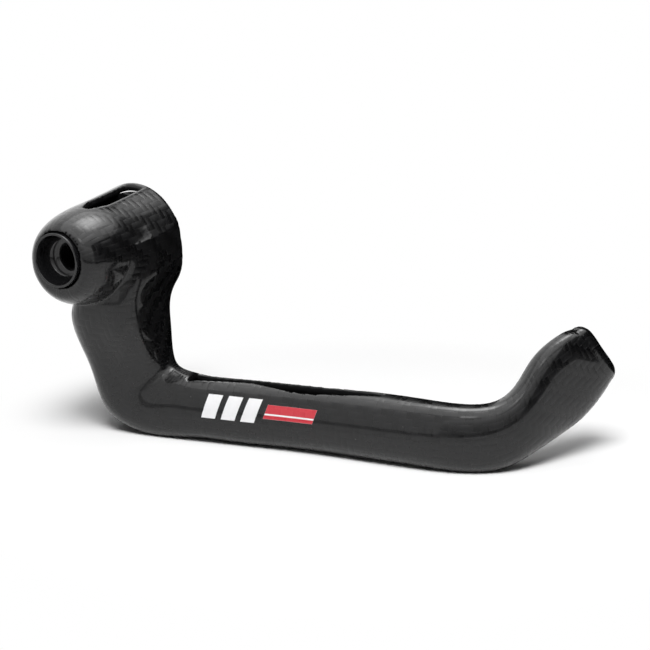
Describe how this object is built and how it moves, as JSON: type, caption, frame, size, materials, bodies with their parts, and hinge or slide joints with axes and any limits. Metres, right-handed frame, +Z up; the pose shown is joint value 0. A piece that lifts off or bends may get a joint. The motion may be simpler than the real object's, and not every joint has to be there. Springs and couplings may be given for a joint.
{
  "type": "brake lever guard",
  "caption": "Black carbon-look lever guard: a domed bulb for the handlebar's end, a neck and a slotted arm that turns inward to a flat paddle.",
  "frame": {"origin": "on the axis of the bolt hole, at the face that seats on the handlebar's end", "axes": "+X points forward along the arm, +Y inward along the handlebar, +Z up; the guard stands on the plane Z = -57 mm"},
  "size_m": [0.1586, 0.0873, 0.0747],
  "materials": {
    "carbon": "gloss clear coat over a fine black weave",
    "insert": "black anodised, satin"
  },
  "bodies": {
    "root": {"guard_shell": "carbon", "bar_end_insert": "insert"}
  },
  "joints": []
}
